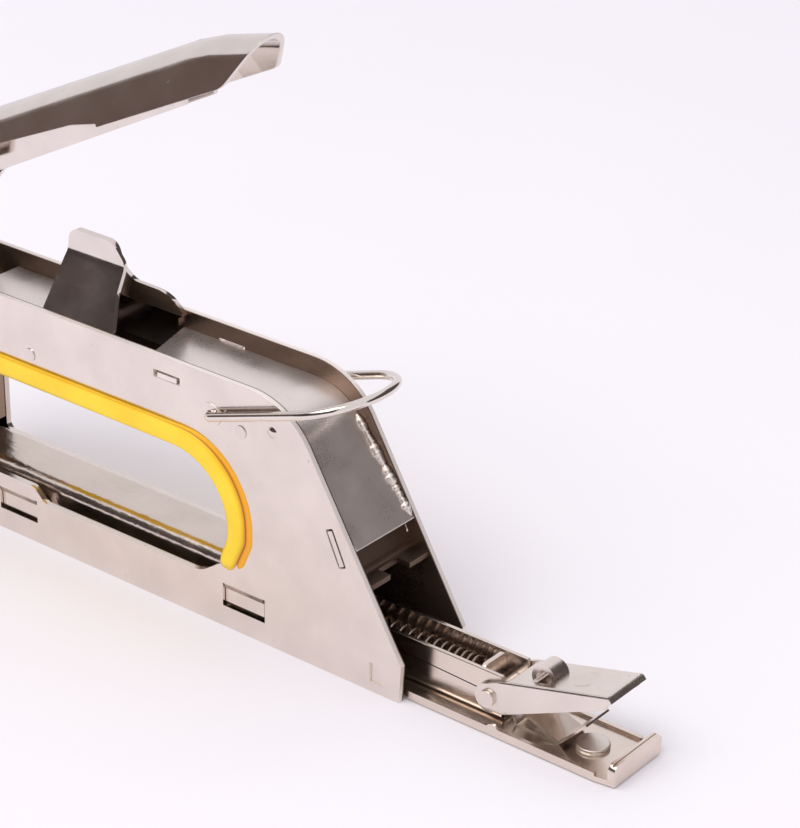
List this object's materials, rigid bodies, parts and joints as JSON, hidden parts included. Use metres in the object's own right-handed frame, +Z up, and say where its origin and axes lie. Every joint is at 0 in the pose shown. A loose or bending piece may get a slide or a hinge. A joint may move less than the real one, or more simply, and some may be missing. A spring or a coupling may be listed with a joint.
{
  "type": "staple gun",
  "caption": "Plated sheet-steel hand staple gun with a raised squeeze handle, hand opening with a soft liner, wire bail and a slide-out staple feeder with its latch.",
  "frame": {"origin": "on the work surface, under the middle of the nose plate", "axes": "+X from the nose to the rear, +Y to the tool's left seen from behind, +Z up"},
  "size_m": [0.2077, 0.0276, 0.1324],
  "materials": {
    "plated_sheet": "polished nickel plate, slightly warm",
    "bright_wire": "bright plate",
    "inner_steel": "satin",
    "spring_steel": "drawn wire",
    "yellow_liner": "soft gloss"
  },
  "bodies": {
    "body": {"side_panel_right": "plated_sheet", "side_panel_left": "plated_sheet", "cross_pins": "bright_wire", "grip_liner": "yellow_liner", "spine_cover": "plated_sheet", "front_cover": "plated_sheet", "stop_fin_right": "plated_sheet", "stop_fin_left": "plated_sheet", "magazine_housing": "inner_steel", "strike_plate": "inner_steel", "nose_plate": "plated_sheet", "driver_guide": "inner_steel", "spring_seat": "inner_steel", "guard_plate": "inner_steel", "handle_pivot": "bright_wire", "main_spring": "spring_steel"},
    "handle": {"handle_shell": "plated_sheet", "inner_lever": "plated_sheet", "handle_rivets": "bright_wire"},
    "hammer": {"hammer": "inner_steel", "driver_blade": "inner_steel"},
    "bail": {"bail": "bright_wire"},
    "feeder": {"feeder_base": "plated_sheet", "feeder_rail": "plated_sheet", "rod_tab": "bright_wire", "guide_rod": "bright_wire", "disc_rivet": "bright_wire", "latch_leaf": "spring_steel", "latch_pin": "bright_wire", "pusher_spring": "spring_steel"},
    "pusher": {"pusher_shoe": "inner_steel"},
    "latch": {"latch_plate": "plated_sheet"}
  },
  "joints": [
    {"name": "handle_squeeze", "type": "hinge", "parent": "body", "child": "handle", "pos_m": [0.0204, 0, 0.0483], "axis": [0, 1, 0], "range_deg": [0, 32.5], "stiffness_Nm_per_rad": 20, "springref_deg": -8.59},
    {"name": "hammer_lift", "type": "slide", "parent": "body", "child": "hammer", "axis": [0, 0, 1], "range_m": [0, 0.0084], "deforming": ["main_spring"]},
    {"name": "bail_swing", "type": "hinge", "parent": "body", "child": "bail", "pos_m": [0.1038, 0, 0.0503], "axis": [0, 1, 0], "range_deg": [-4, 29]},
    {"name": "feeder_slide", "type": "slide", "parent": "body", "child": "feeder", "axis": [1, 0, 0], "range_m": [-0.0505, 0.045]},
    {"name": "pusher_slide", "type": "slide", "parent": "feeder", "child": "pusher", "axis": [1, 0, 0], "range_m": [0, 0.068], "stiffness_N_per_m": 40, "springref_m": -0.05, "deforming": ["pusher_spring"]},
    {"name": "latch_press", "type": "hinge", "parent": "feeder", "child": "latch", "pos_m": [0.1741, 0, 0.0068], "axis": [0, 1, 0], "range_deg": [0, 11], "stiffness_Nm_per_rad": 0.05, "springref_deg": -11.46, "deforming": ["latch_leaf"]}
  ],
  "couplings": [
    {"joint": "hammer_lift", "follows": "handle_squeeze", "m_per_rad": 0.01479}
  ]
}
